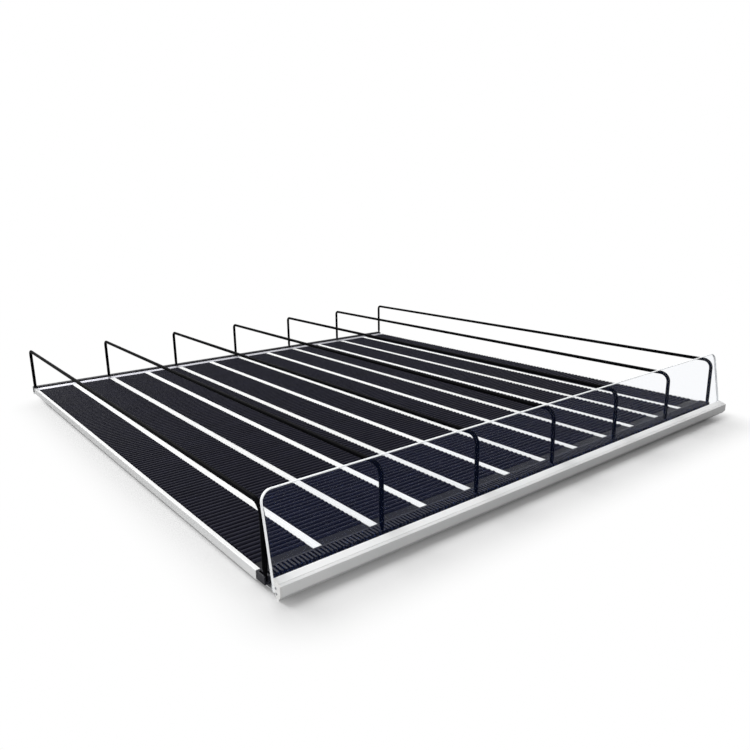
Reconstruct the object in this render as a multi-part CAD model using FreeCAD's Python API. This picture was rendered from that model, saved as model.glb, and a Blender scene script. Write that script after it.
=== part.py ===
import FreeCAD, Part
import math
import os

# Gravity roller shelf: twelve roller tracks between white lane strips, a front rail with a
# clear panel, toothed and grooved bars for the wire dividers, and side rails.
# Millimetres. X runs across the lanes, Y from front to rear, Z up.
# The origin is the middle of the shelf on the surface that it rests on.

# Deck
TRACK_COUNT = 12
TRACKS_PER_LANE = 2
TRACK_PITCH = 60.0
DECK_LENGTH = 722.0
DECK_RISE = 2.0
TRACK_TOP = 9.8
TRACK_SIDE_CLEARANCE = 0.25
TRACK_RECESS_DEPTH = 1.6
FRONT_PLAIN_LENGTH = 11.0
REAR_PLAIN_LENGTH = 14.0

# Lane strips and side rails
STRIP_WIDTH = 8.4
STRIP_THICKNESS = 0.8
STRIP_STEM = 1.2
STRIP_FOOT_WIDTH = 8.0
STRIP_GROOVE_WIDTH = 0.9
STRIP_GROOVE_DEPTH = 0.3
FLANGE_THICKNESS = 1.4
EDGE_TRIM = 1.6
SIDE_RAIL_WIDTH = 4.2
SIDE_RAIL_WALL = 1.2

# Rollers
ROLLER_PITCH = 6.5
ROLLER_RADIUS = 2.6
ROLLER_RISE = 1.4
ROLLER_END_CLEARANCE = 0.3
ROLLER_POCKET_CLEARANCE = 0.35
PIN_RADIUS = 0.9
PIN_LENGTH = 2.0
PIN_RADIAL_CLEARANCE = 0.05
CROWN_TANGENT_ANGLE = 50.0
BAY_ROLLERS = 3

# Front rail, front plate, groove lip, end caps and panel
NOSE_DEPTH = 9.6
NOSE_FACE_BOTTOM = 3.8
NOSE_FACE_TOP = 12.5
NOSE_REAR_HEIGHT = 16.0
NOSE_CREASE_SETBACK = 2.6
NOSE_CREASE_HEIGHT = 13.7
NOSE_FOOT_DEPTH = 4.0
NOSE_HEEL_HEIGHT = 6.0
NOSE_WALL = 1.5
PLATE_LAP = 3.0
PLATE_LAP_CLEARANCE = 0.2
RAIL_TONGUE_LENGTH = 8.0
LIP_TOP = 9.6
LIP_THICKNESS = 1.5
CAP_THICKNESS = 2.0
CAP_PLUG_LENGTH = 6.0
CAP_PLUG_CLEARANCE = 0.15
PANEL_THICKNESS = 3.5
PANEL_LEAN = 10.0
PANEL_CLEARANCE = 0.3
PANEL_WIRE_CLEARANCE = 0.3
PANEL_TOP = 82.0
PANEL_CORNER_RADIUS = 10.0

# Front comb, rear bar and rear cover
COMB_DEPTH = 13.4
COMB_SEAT_CLEARANCE = 0.2
SLOT_PITCH = 4.0
SLOT_WIDTH = 2.0
SLOT_LENGTH = 11.0
SLOT_DEPTH = 4.6
RIB_WIDTH = 1.6
RIB_HEIGHT = 1.2
RIB_CLEARANCE = 0.15
COMB_RIB_SETBACK = 4.0
REAR_BAR_DEPTH = 10.0
REAR_BAR_TOP = 12.6
REAR_GROOVE_SETBACK = 2.6
REAR_GROOVE_WIDTH = 2.2
REAR_GROOVE_DEPTH = 6.0
REAR_RIB_SETBACK = 2.6
REAR_WALL = 1.6
REAR_WALL_HEIGHT = 11.0
REAR_FOOT_DEPTH = 6.0
COVER_CLEARANCE = 0.2

# Wire dividers
WIRE_DIAMETER = 4.5
WIRE_FLATS = 8
WIRE_RISE = 60.6
WIRE_FRONT_BEND = 11.0
WIRE_REAR_BEND = 6.0
EDGE_DIVIDER_INSET = 2.4
DIVIDER_LIFT = 8.0
FOOT_WIDTH = 4.4
FOOT_SIDE_CLEARANCE = 0.3
FOOT_END_CLEARANCE = 0.3

# Heights and widths that follow from the sizes
half_deck = TRACK_COUNT * TRACK_PITCH / 2
half_width = half_deck - EDGE_TRIM
rail_inner_x = half_width - SIDE_RAIL_WIDTH
flange_top = DECK_RISE + FLANGE_THICKNESS
strip_top = TRACK_TOP + STRIP_THICKNESS
wire_z = strip_top + WIRE_RISE
track_wall = (STRIP_WIDTH - STRIP_STEM) / 2 - TRACK_SIDE_CLEARANCE
roller_axis_z = TRACK_TOP + ROLLER_RISE - ROLLER_RADIUS
roller_count = math.floor((DECK_LENGTH - FRONT_PLAIN_LENGTH - REAR_PLAIN_LENGTH) / ROLLER_PITCH)
tongue_half_width = rail_inner_x - COMB_SEAT_CLEARANCE

# Depths in front of the deck, counted forward from the front ends of the tracks
lean = math.radians(PANEL_LEAN)
lean_rate = math.tan(lean)
lean_stretch = 1 / math.cos(lean)
comb_reach = COMB_SEAT_CLEARANCE + COMB_DEPTH
leg_reach = comb_reach - FOOT_END_CLEARANCE - FOOT_WIDTH / 2
bend_room = WIRE_FRONT_BEND + WIRE_DIAMETER / 2 + PANEL_WIRE_CLEARANCE + DIVIDER_LIFT * math.sin(lean)
bend_reach = leg_reach - WIRE_FRONT_BEND + bend_room * lean_stretch
panel_rear_reach = bend_reach + (wire_z - WIRE_FRONT_BEND) * lean_rate
panel_front_reach = panel_rear_reach + PANEL_THICKNESS * lean_stretch
nose_rear_reach = panel_front_reach + PANEL_CLEARANCE * lean_stretch
front_depth = nose_rear_reach - NOSE_REAR_HEIGHT * lean_rate + NOSE_DEPTH
rear_depth = COMB_SEAT_CLEARANCE + REAR_BAR_DEPTH + REAR_WALL

# Places from front to rear; those of leaning faces are where they meet the floor
front_y = -(front_depth + DECK_LENGTH + rear_depth) / 2
deck_front_y = front_y + front_depth
deck_rear_y = deck_front_y + DECK_LENGTH
crease_y = front_y + NOSE_CREASE_SETBACK
nose_rear_y = deck_front_y - nose_rear_reach
panel_rear_y = deck_front_y - panel_rear_reach
lip_front_y = panel_rear_y + PANEL_CLEARANCE * lean_stretch
comb_front_y = deck_front_y - comb_reach
comb_rib_y = deck_front_y - COMB_RIB_SETBACK
divider_front_y = deck_front_y - leg_reach
rear_bar_front_y = deck_rear_y + COMB_SEAT_CLEARANCE
rear_bar_rear_y = rear_bar_front_y + REAR_BAR_DEPTH
rear_y = rear_bar_rear_y + REAR_WALL
rear_rib_y = rear_bar_rear_y - REAR_RIB_SETBACK
divider_rear_y = rear_bar_front_y + REAR_GROOVE_SETBACK


def block(x, y, z):
    """Box from three (low, high) pairs."""
    sizes = (x[1] - x[0], y[1] - y[0], z[1] - z[0])
    return Part.makeBox(*sizes, FreeCAD.Vector(x[0], y[0], z[0]))


def about(middle, size):
    """Low and high end of a size about its middle."""
    return middle - size / 2, middle + size / 2


def face_of(points):
    """Flat face bounded by straight runs through the points."""
    return Part.Face(Part.makePolygon(points + points[:1]))


def across(outline, x):
    """Section given as (y, z) points, extruded from x[0] to x[1]."""
    face = face_of([FreeCAD.Vector(x[0], y, z) for y, z in outline])
    return face.extrude(FreeCAD.Vector(x[1] - x[0], 0, 0))


def along(outline, y):
    """Section given as (x, z) points, extruded from y[0] to y[1]."""
    face = face_of([FreeCAD.Vector(x, y[0], z) for x, z in outline])
    return face.extrude(FreeCAD.Vector(0, y[1] - y[0], 0))


def rod(radius, start, length):
    """Round bar along +X from a start point."""
    return Part.makeCylinder(radius, length, start, FreeCAD.Vector(1, 0, 0))


def mirrored(shape):
    """The same piece for the other side of the shelf."""
    return shape.mirror(FreeCAD.Vector(0, 0, 0), FreeCAD.Vector(1, 0, 0))


def whole_width():
    """Low and high X of the shelf."""
    return -half_width, half_width


def between_caps():
    """Low and high X of the pieces that lie between the end caps."""
    return -half_width + CAP_THICKNESS, half_width - CAP_THICKNESS


def leaning(y, z):
    """Point of a leaning face at a height, from the place where it meets the floor."""
    return y + z * lean_rate, z


def track_span(index):
    """Low and high X of a track, counted from the left, between stems or side rails."""
    low = -half_deck + index * TRACK_PITCH + STRIP_STEM / 2
    high = low + TRACK_PITCH - STRIP_STEM
    limit = half_width - SIDE_RAIL_WALL
    return max(low, -limit) + TRACK_SIDE_CLEARANCE, min(high, limit) - TRACK_SIDE_CLEARANCE


def shrunk(span, inset):
    """A (low, high) pair drawn in at both ends."""
    return span[0] + inset, span[1] - inset


def roller_window(index):
    """Low and high X of the room for the rollers of a track."""
    return shrunk(track_span(index), track_wall)


def roller_span(index):
    """Low and high X of the rollers of a track, without their pins."""
    return shrunk(roller_window(index), ROLLER_END_CLEARANCE)


def roller_y(index):
    """Axis of a roller, counted from the front."""
    return deck_front_y + FRONT_PLAIN_LENGTH + (index + 0.5) * ROLLER_PITCH


def divider_places():
    """X of each divider: at every lane edge, moved to the nearest comb slot."""
    places = []
    for edge in range(0, TRACK_COUNT + 1, TRACKS_PER_LANE):
        wanted = -half_deck + edge * TRACK_PITCH
        limit = half_width - EDGE_DIVIDER_INSET
        wanted = max(-limit, min(limit, wanted))
        places.append(round(wanted / SLOT_PITCH) * SLOT_PITCH)
    return places


def nose_outline():
    """Front rail nose: raised face, creased top, leaning rear side, foot, sloping underside."""
    return [
        (front_y, NOSE_FACE_BOTTOM),
        (front_y, NOSE_FACE_TOP),
        (crease_y, NOSE_CREASE_HEIGHT),
        leaning(nose_rear_y, NOSE_REAR_HEIGHT),
        (nose_rear_y, 0),
        (nose_rear_y - NOSE_FOOT_DEPTH, 0),
    ]


def nose_cell(inset, x):
    """Hollow of the nose above its heel, shrunk by an inset and extruded from x[0] to x[1]."""
    wall = NOSE_WALL + inset
    floor = NOSE_HEEL_HEIGHT + inset
    rear_wall_y = nose_rear_y - wall * lean_stretch
    roof_slope = (NOSE_CREASE_HEIGHT - NOSE_FACE_TOP) / NOSE_CREASE_SETBACK
    outline = [
        (front_y + wall, floor),
        (front_y + wall, NOSE_FACE_TOP - wall + wall * roof_slope),
        (crease_y, NOSE_CREASE_HEIGHT - wall),
        leaning(rear_wall_y, NOSE_REAR_HEIGHT - 2 * wall),
        leaning(rear_wall_y, floor),
    ]
    return across(outline, x)


def front_rail():
    """Hollow nose with a slot in its heel for the edge of the front plate."""
    lap_y = leaning(nose_rear_y, DECK_RISE)[0] - PLATE_LAP - PLATE_LAP_CLEARANCE
    lap = block(between_caps(), (lap_y, deck_front_y), (DECK_RISE - PLATE_LAP_CLEARANCE, flange_top))
    nose = across(nose_outline(), between_caps())
    return nose.cut([nose_cell(0, between_caps()), lap])


def front_plate():
    """Plate under panel and comb, with the comb rib and a tongue under the tracks."""
    plate_front_y = leaning(nose_rear_y, DECK_RISE)[0] - PLATE_LAP
    plate_y = (plate_front_y, deck_front_y - COMB_SEAT_CLEARANCE)
    plate = block(between_caps(), plate_y, (DECK_RISE, flange_top))
    rib = block(between_caps(), about(comb_rib_y, RIB_WIDTH), (DECK_RISE, flange_top + RIB_HEIGHT))
    tongue_y = (comb_rib_y, deck_front_y + RAIL_TONGUE_LENGTH)
    tongue = block((-tongue_half_width, tongue_half_width), tongue_y, (DECK_RISE, flange_top))
    return plate.fuse([rib, tongue]).removeSplitter()


def groove_lip():
    """Leaning lip on the front plate that holds the panel from behind."""
    outline = [
        leaning(lip_front_y, flange_top),
        leaning(lip_front_y, LIP_TOP),
        leaning(lip_front_y + LIP_THICKNESS, LIP_TOP),
        leaning(lip_front_y + LIP_THICKNESS, flange_top),
    ]
    return across(outline, between_caps())


def end_cap():
    """Left end cap of the nose, with a plug that goes into its hollow."""
    inner_x = -half_width + CAP_THICKNESS
    cap = across(nose_outline(), (-half_width, inner_x))
    return cap.fuse(nose_cell(CAP_PLUG_CLEARANCE, (inner_x, inner_x + CAP_PLUG_LENGTH)))


def front_panel():
    """Clear panel leaning to the rear behind the nose, with rounded top corners."""
    foot_y, foot_z = leaning(panel_rear_y, flange_top + PANEL_CLEARANCE)
    height = (PANEL_TOP - foot_z - PANEL_THICKNESS * math.sin(lean)) / math.cos(lean)
    panel = block(whole_width(), (-PANEL_THICKNESS, 0), (0, height))
    corners = [
        edge
        for edge in panel.Edges
        if edge.BoundBox.ZMin > height / 2 and edge.BoundBox.XLength < PANEL_THICKNESS / 2
    ]
    panel = panel.makeFillet(PANEL_CORNER_RADIUS, corners)
    panel.rotate(FreeCAD.Vector(0, 0, 0), FreeCAD.Vector(1, 0, 0), -PANEL_LEAN)
    panel.translate(FreeCAD.Vector(0, foot_y, foot_z))
    return panel


def front_comb():
    """Toothed bar behind the panel: slots open to the front, plain ledge behind them."""
    comb_y = (comb_front_y, comb_front_y + COMB_DEPTH)
    comb = block(whole_width(), comb_y, (flange_top, strip_top))
    rib_room = about(comb_rib_y, RIB_WIDTH + 2 * RIB_CLEARANCE)
    rib_top = flange_top + RIB_HEIGHT + RIB_CLEARANCE
    comb = comb.cut(block(whole_width(), rib_room, (flange_top, rib_top)))
    slot_y = (comb_front_y, comb_front_y + SLOT_LENGTH)
    slot_z = (strip_top - SLOT_DEPTH, strip_top)
    last = math.floor((half_width - SLOT_WIDTH) / SLOT_PITCH)
    slots = [
        block(about(number * SLOT_PITCH, SLOT_WIDTH), slot_y, slot_z)
        for number in range(-last, last + 1)
    ]
    return comb.cut(Part.makeCompound(slots))


def rear_rail():
    """Plate with foot, back wall, a rib for the rear bar and a tongue under the tracks."""
    plate_y = (deck_rear_y + COMB_SEAT_CLEARANCE, rear_y)
    plate = block(whole_width(), plate_y, (DECK_RISE, flange_top))
    foot = block(whole_width(), (rear_y - REAR_FOOT_DEPTH, rear_y), (0, flange_top))
    wall = block(whole_width(), (rear_bar_rear_y, rear_y), (0, REAR_WALL_HEIGHT))
    rib = block(whole_width(), about(rear_rib_y, RIB_WIDTH), (DECK_RISE, flange_top + RIB_HEIGHT))
    tongue_y = (deck_rear_y - RAIL_TONGUE_LENGTH, rear_rib_y)
    tongue = block((-tongue_half_width, tongue_half_width), tongue_y, (DECK_RISE, flange_top))
    return plate.fuse([foot, wall, rib, tongue]).removeSplitter()


def rear_bar():
    """Raised bar behind the tracks, grooved along its top for the rear legs."""
    bar_y = (rear_bar_front_y, rear_bar_rear_y)
    bar = block(whole_width(), bar_y, (flange_top, REAR_BAR_TOP))
    rib_room = about(rear_rib_y, RIB_WIDTH + 2 * RIB_CLEARANCE)
    rib_top = flange_top + RIB_HEIGHT + RIB_CLEARANCE
    bar = bar.cut(block(whole_width(), rib_room, (flange_top, rib_top)))
    groove = about(divider_rear_y, REAR_GROOVE_WIDTH)
    groove_z = (REAR_BAR_TOP - REAR_GROOVE_DEPTH, REAR_BAR_TOP)
    return bar.cut(block(whole_width(), groove, groove_z))


def rear_cover():
    """Flat strip over the plain rear ends of the tracks, between lane strips and rear bar."""
    half_length = rail_inner_x - COVER_CLEARANCE
    cover_y = (deck_rear_y - REAR_PLAIN_LENGTH, deck_rear_y)
    return block((-half_length, half_length), cover_y, (TRACK_TOP, strip_top))


def side_rail():
    """Left side rail: channel with a flange over and under the outer track."""
    wall_x = -half_width + SIDE_RAIL_WALL
    outline = [
        (-half_width, DECK_RISE),
        (-rail_inner_x, DECK_RISE),
        (-rail_inner_x, flange_top),
        (wall_x, flange_top),
        (wall_x, TRACK_TOP),
        (-rail_inner_x, TRACK_TOP),
        (-rail_inner_x, strip_top),
        (-half_width, strip_top),
    ]
    return along(outline, (deck_front_y, deck_rear_y))


def lane_strip(index):
    """Strip between two tracks: grooved cap, stem, and a foot that carries the tracks."""
    middle = -half_deck + (index + 1) * TRACK_PITCH
    cap_y = (deck_front_y, deck_rear_y - REAR_PLAIN_LENGTH - COVER_CLEARANCE)
    half_cap = STRIP_WIDTH / 2
    half_groove = STRIP_GROOVE_WIDTH / 2
    cap = along(
        [
            (middle - half_cap, TRACK_TOP),
            (middle - half_cap, strip_top),
            (middle - half_groove, strip_top),
            (middle, strip_top - STRIP_GROOVE_DEPTH),
            (middle + half_groove, strip_top),
            (middle + half_cap, strip_top),
            (middle + half_cap, TRACK_TOP),
        ],
        cap_y,
    )
    stem = block(about(middle, STRIP_STEM), (deck_front_y, deck_rear_y), (flange_top, TRACK_TOP))
    end = RAIL_TONGUE_LENGTH + COMB_SEAT_CLEARANCE
    foot_y = (deck_front_y + end, deck_rear_y - end)
    foot = block(about(middle, STRIP_FOOT_WIDTH), foot_y, (DECK_RISE, flange_top))
    return cap.fuse([stem, foot]).removeSplitter()


def roller_pocket(index, y):
    """Trough for one roller and notches for its pins, open at the top and closed by the strips."""
    rooms = (
        (ROLLER_RADIUS + ROLLER_POCKET_CLEARANCE, roller_window(index)),
        (PIN_RADIUS + PIN_RADIAL_CLEARANCE, shrunk(roller_window(index), -PIN_LENGTH)),
    )
    return [
        block(span, about(y, 2 * reach), (roller_axis_z - reach, TRACK_TOP))
        for reach, span in rooms
    ]


def roller_crown(index, y):
    """Top of a roller that stands still, as three flats that touch its circle."""
    turn = math.radians(CROWN_TANGENT_ANGLE)
    half_top = ROLLER_RADIUS * math.tan(turn / 2)
    deck_level = TRACK_TOP - roller_axis_z
    half_base = (ROLLER_RADIUS - deck_level * math.cos(turn)) / math.sin(turn)
    outline = [
        (y - half_base, TRACK_TOP),
        (y - half_top, TRACK_TOP + ROLLER_RISE),
        (y + half_top, TRACK_TOP + ROLLER_RISE),
        (y + half_base, TRACK_TOP),
    ]
    return across(outline, roller_span(index))


def roller_track(index):
    """Moulded track: plain ends, pocket of the front roller, and still rollers at both ends."""
    track = block(track_span(index), (deck_front_y, deck_rear_y), (flange_top, TRACK_TOP))
    recess_y = (deck_front_y + FRONT_PLAIN_LENGTH, deck_rear_y - REAR_PLAIN_LENGTH)
    recess_z = (flange_top, flange_top + TRACK_RECESS_DEPTH)
    recess = block(roller_window(index), recess_y, recess_z)
    track = track.cut([recess] + roller_pocket(index, roller_y(0)))
    still = list(range(1, BAY_ROLLERS)) + list(range(roller_count - BAY_ROLLERS, roller_count))
    return track.fuse([roller_crown(index, roller_y(number)) for number in still])


def front_roller(index):
    """Front roller of a track, with a pin at each end."""
    barrel_x = roller_span(index)
    pin_x = shrunk(barrel_x, -PIN_LENGTH)
    bars = []
    for radius, span in ((ROLLER_RADIUS, barrel_x), (PIN_RADIUS, pin_x)):
        start = FreeCAD.Vector(span[0], roller_y(0), roller_axis_z)
        bars.append(rod(radius, start, span[1] - span[0]))
    return bars[0].fuse(bars[1]).removeSplitter()


def wire_path(x):
    """Centre line of a divider: front leg, front bend, top, rear bend, rear leg."""
    front_foot_z = strip_top + FOOT_END_CLEARANCE
    rear_foot_z = REAR_BAR_TOP + FOOT_END_CLEARANCE
    slant = math.sqrt(0.5)

    def at(y, z):
        return FreeCAD.Vector(x, y, z)

    front_centre = at(divider_front_y + WIRE_FRONT_BEND, wire_z - WIRE_FRONT_BEND)
    rear_centre = at(divider_rear_y - WIRE_REAR_BEND, wire_z - WIRE_REAR_BEND)
    front_middle = front_centre + FreeCAD.Vector(0, -slant, slant) * WIRE_FRONT_BEND
    rear_middle = rear_centre + FreeCAD.Vector(0, slant, slant) * WIRE_REAR_BEND
    front_up = at(divider_front_y, front_centre.z)
    front_top = at(front_centre.y, wire_z)
    rear_top = at(rear_centre.y, wire_z)
    rear_up = at(divider_rear_y, rear_centre.z)
    edges = [
        Part.LineSegment(at(divider_front_y, front_foot_z), front_up).toShape(),
        Part.Arc(front_up, front_middle, front_top).toShape(),
        Part.LineSegment(front_top, rear_top).toShape(),
        Part.Arc(rear_top, rear_middle, rear_up).toShape(),
        Part.LineSegment(rear_up, at(divider_rear_y, rear_foot_z)).toShape(),
    ]
    return Part.Wire(edges)


def wire_section(middle):
    """Wire section as a regular polygon, its diameter measured across flats."""
    step = 2 * math.pi / WIRE_FLATS
    reach = WIRE_DIAMETER / 2 / math.cos(step / 2)
    corners = []
    for number in range(WIRE_FLATS):
        turn = (number + 0.5) * step
        corners.append(middle + FreeCAD.Vector(math.cos(turn), math.sin(turn), 0) * reach)
    return face_of(corners)


def wire_divider(x):
    """Bent wire whose feet are pressed flat: the front one for a slot, the rear for the groove."""
    path = wire_path(x)
    wire = path.makePipe(wire_section(path.Edges[0].Vertexes[0].Point))
    front_thickness = SLOT_WIDTH - 2 * FOOT_SIDE_CLEARANCE
    front_z = (strip_top - SLOT_DEPTH + FOOT_END_CLEARANCE, strip_top + FOOT_END_CLEARANCE)
    front_foot = block(about(x, front_thickness), about(divider_front_y, FOOT_WIDTH), front_z)
    rear_thickness = REAR_GROOVE_WIDTH - 2 * FOOT_SIDE_CLEARANCE
    rear_floor = REAR_BAR_TOP - REAR_GROOVE_DEPTH
    rear_z = (rear_floor + FOOT_END_CLEARANCE, REAR_BAR_TOP + FOOT_END_CLEARANCE)
    rear_foot = block(about(x, FOOT_WIDTH), about(divider_rear_y, rear_thickness), rear_z)
    return wire.fuse([front_foot, rear_foot])


def save(name, shape):
    """Write one piece under its name."""
    shape.exportStep(f"parts/{name}.step")


def main():
    os.makedirs("parts", exist_ok=True)
    save("front_rail", front_rail())
    save("front_plate", front_plate())
    save("groove_lip", groove_lip())
    save("end_cap_left", end_cap())
    save("end_cap_right", mirrored(end_cap()))
    save("front_panel", front_panel())
    save("front_comb", front_comb())
    save("rear_rail", rear_rail())
    save("rear_bar", rear_bar())
    save("rear_cover", rear_cover())
    save("side_rail_left", side_rail())
    save("side_rail_right", mirrored(side_rail()))
    for index in range(TRACK_COUNT - 1):
        save(f"lane_strip_{index + 1:02d}", lane_strip(index))
    for index in range(TRACK_COUNT):
        save(f"roller_track_{index + 1:02d}", roller_track(index))
        save(f"front_roller_{index + 1:02d}", front_roller(index))
    for number, x in enumerate(divider_places(), start=1):
        save(f"wire_divider_{number}", wire_divider(x))


main()
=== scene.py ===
"""Looks of the gravity roller shelf: finishes, detailed pieces, studio and camera.

Metres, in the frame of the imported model: X runs across the lanes, Y from front to rear, Z up.
"""

import logging
import math
from dataclasses import dataclass, replace
from enum import Enum

import bmesh
import bpy
from bpy.types import Material, Node, NodeSocket, Object, World
from mathutils import Matrix, Vector

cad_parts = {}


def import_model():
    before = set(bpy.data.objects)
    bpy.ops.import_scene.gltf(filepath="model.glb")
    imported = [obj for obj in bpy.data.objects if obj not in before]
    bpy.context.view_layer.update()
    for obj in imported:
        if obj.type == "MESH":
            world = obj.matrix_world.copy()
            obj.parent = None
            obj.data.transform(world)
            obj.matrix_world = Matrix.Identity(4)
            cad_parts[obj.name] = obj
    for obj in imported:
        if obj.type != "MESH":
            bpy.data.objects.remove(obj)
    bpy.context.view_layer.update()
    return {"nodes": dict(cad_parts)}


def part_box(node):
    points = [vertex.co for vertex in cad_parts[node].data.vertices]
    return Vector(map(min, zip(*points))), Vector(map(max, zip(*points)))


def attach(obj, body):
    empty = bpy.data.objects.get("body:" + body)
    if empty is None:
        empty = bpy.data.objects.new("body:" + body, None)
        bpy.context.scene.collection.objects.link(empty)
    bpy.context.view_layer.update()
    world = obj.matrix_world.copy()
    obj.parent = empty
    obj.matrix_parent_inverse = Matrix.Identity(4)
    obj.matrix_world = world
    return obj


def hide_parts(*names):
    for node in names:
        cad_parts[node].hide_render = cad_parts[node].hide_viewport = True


MM = 0.001
SHELF = "shelf"
LOG = logging.getLogger("roller_shelf")

Flat = tuple[float, float]
Triple = tuple[float, float, float]
Colour = tuple[float, float, float]
Box = tuple[Vector, Vector]
Station = tuple[Flat, float, float, float]

WHITE = (1.0, 1.0, 1.0, 1.0)
EVEN = (1.0, 1.0, 1.0)


class Slot(Enum):
    """Material slots of the shelf."""

    WHITE_COAT = "white_coat"
    WHITE_PLASTIC = "white_plastic"
    CLEAR_PANEL = "clear_panel"
    COMB_BLACK = "comb_black"
    TRACK_BLACK = "track_black"
    ROLLER_BLACK = "roller_black"
    WIRE_BLACK = "wire_black"
    BARE_ALUMINIUM = "bare_aluminium"


class Side(Enum):
    """Left or right end of the shelf."""

    LEFT = "left"
    RIGHT = "right"

    @property
    def outward(self) -> float:
        """Sign of X towards this end."""
        return -1.0 if self is Side.LEFT else 1.0

    def outer(self, low: Vector, high: Vector) -> float:
        """X of a box's face towards this end."""
        return low.x if self is Side.LEFT else high.x

    def inner(self, low: Vector, high: Vector) -> float:
        """X of a box's face away from this end."""
        return high.x if self is Side.LEFT else low.x


class Run(Enum):
    """Direction in which an outline is drawn out into a bar."""

    ACROSS = 0
    ALONG = 1

    def place(self, point: Flat, distance: float) -> Vector:
        """Put a point of the outline at a distance along the bar.

        Args:
            point: Point of the outline.
            distance: Distance along the direction of the bar.

        Returns:
            The place in the shelf's frame.
        """
        if self is Run.ACROSS:
            return Vector((distance, point[0], point[1]))
        return Vector((point[0], distance, point[1]))


class Join(Enum):
    """Way to join two outputs that run from 0 to 1."""

    EITHER = "MAXIMUM"
    BOTH = "MULTIPLY"


class Sketch:
    """Nodes of a material or of the world, added and linked by name."""

    NOISE_SPAN: Flat = (0.3, 0.7)
    NOISE_GRIT: float = 0.55
    FIRST_BOUNCE: float = 0.5

    def __init__(self, owner: Material | World, end: str) -> None:
        """Start with an empty node tree.

        Args:
            owner: Material or world that the nodes belong to.
            end: Blender's type name of the output node.
        """
        self.owner = owner
        self.owner.use_nodes = True
        self.tree = self.owner.node_tree
        self.tree.nodes.clear()
        self.end = end

    @classmethod
    def material(cls, name: str) -> "Sketch":
        """Start a new material under a name."""
        return cls(bpy.data.materials.new(name), "ShaderNodeOutputMaterial")

    def node(self, kind: str, settings: dict[str, str] | None = None, **values: object) -> Node:
        """Add a node.

        Args:
            kind: Blender's type name of the node.
            settings: Attributes of the node itself.
            values: Input values, with underscores for the spaces in a socket's name.

        Returns:
            The new node.
        """
        made = self.tree.nodes.new(kind)
        for key, value in (settings or {}).items():
            setattr(made, key, value)
        for key, value in values.items():
            made.inputs[key.replace("_", " ")].default_value = value
        return made

    def link(self, source: NodeSocket, target: NodeSocket) -> None:
        """Join an output to an input."""
        self.tree.links.new(source, target)

    def output(self, shader: NodeSocket) -> Material | World:
        """Send the last shader to the surface and give the finished material or world."""
        self.link(shader, self.node(self.end).inputs["Surface"])
        return self.owner

    def joined(self, way: Join, first: NodeSocket, second: NodeSocket) -> NodeSocket:
        """Join two outputs that run from 0 to 1.

        Args:
            way: Whether one of them is enough or both are needed.
            first: One of the outputs.
            second: The other output.

        Returns:
            The joined output.
        """
        pair = self.node("ShaderNodeMath", {"operation": way.value})
        self.link(first, pair.inputs[0])
        self.link(second, pair.inputs[1])
        return pair.outputs["Value"]

    def mixed(self, share: NodeSocket, first: NodeSocket, second: NodeSocket) -> NodeSocket:
        """Mix two shaders.

        Args:
            share: Output with the share of the second shader.
            first: Output of the first shader.
            second: Output of the second shader.

        Returns:
            The mixed shader's output.
        """
        mix = self.node("ShaderNodeMixShader")
        for number, source in enumerate((share, first, second)):
            self.link(source, mix.inputs[number])
        return mix.outputs["Shader"]

    def seen_directly(self) -> NodeSocket:
        """Tell the rays from the camera, straight, mirrored or through the panel, from all others.

        Returns:
            An output that is 1 for these rays and 0 for the rest.
        """
        path = self.node("ShaderNodeLightPath")
        clear = self.node("ShaderNodeMath", {"operation": "LESS_THAN"})
        clear.inputs[1].default_value = self.FIRST_BOUNCE
        self.link(path.outputs["Diffuse Depth"], clear.inputs[0])
        seen = path.outputs["Is Camera Ray"]
        for kind in ("Is Glossy Ray", "Is Transmission Ray"):
            seen = self.joined(Join.EITHER, seen, path.outputs[kind])
        return self.joined(Join.BOTH, seen, clear.outputs["Value"])

    def noise(self, size: float, detail: float, stretch: Triple) -> NodeSocket:
        """Add a noise in the shelf's own coordinates.

        Args:
            size: Size of the largest spots, in metres.
            detail: Number of finer octaves.
            stretch: Factor on the spots' length along X, Y and Z.

        Returns:
            The noise's output.
        """
        place = self.node("ShaderNodeTexCoord")
        turn = self.node("ShaderNodeMapping", Scale=[1 / factor for factor in stretch])
        spots = self.node("ShaderNodeTexNoise", Scale=1 / size, Detail=detail, Roughness=self.NOISE_GRIT)
        self.link(place.outputs["Object"], turn.inputs["Vector"])
        self.link(turn.outputs["Vector"], spots.inputs["Vector"])
        return spots.outputs["Fac"]

    def between(self, noise: NodeSocket, low: Colour, high: Colour) -> NodeSocket:
        """Blend two colours over the usual range of a noise.

        Args:
            noise: Output of the noise.
            low: Colour at the low end of that range.
            high: Colour at its high end.

        Returns:
            The blended colour's output.
        """
        ramp = self.node("ShaderNodeValToRGB")
        for element, place, colour in zip(ramp.color_ramp.elements, self.NOISE_SPAN, (low, high)):
            element.position = place
            element.color = (*colour, 1.0)
        self.link(noise, ramp.inputs["Fac"])
        return ramp.outputs["Color"]

    def mapped(self, source: NodeSocket, span: Flat, levels: Flat) -> NodeSocket:
        """Map a span of an output to levels.

        Args:
            source: Output to map.
            span: Low and high end of the span.
            levels: Levels at these ends.

        Returns:
            The level's output.
        """
        scale = self.node("ShaderNodeMapRange", To_Min=levels[0], To_Max=levels[1])
        scale.inputs["From Min"].default_value = span[0]
        scale.inputs["From Max"].default_value = span[1]
        self.link(source, scale.inputs["Value"])
        return scale.outputs["Result"]


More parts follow.
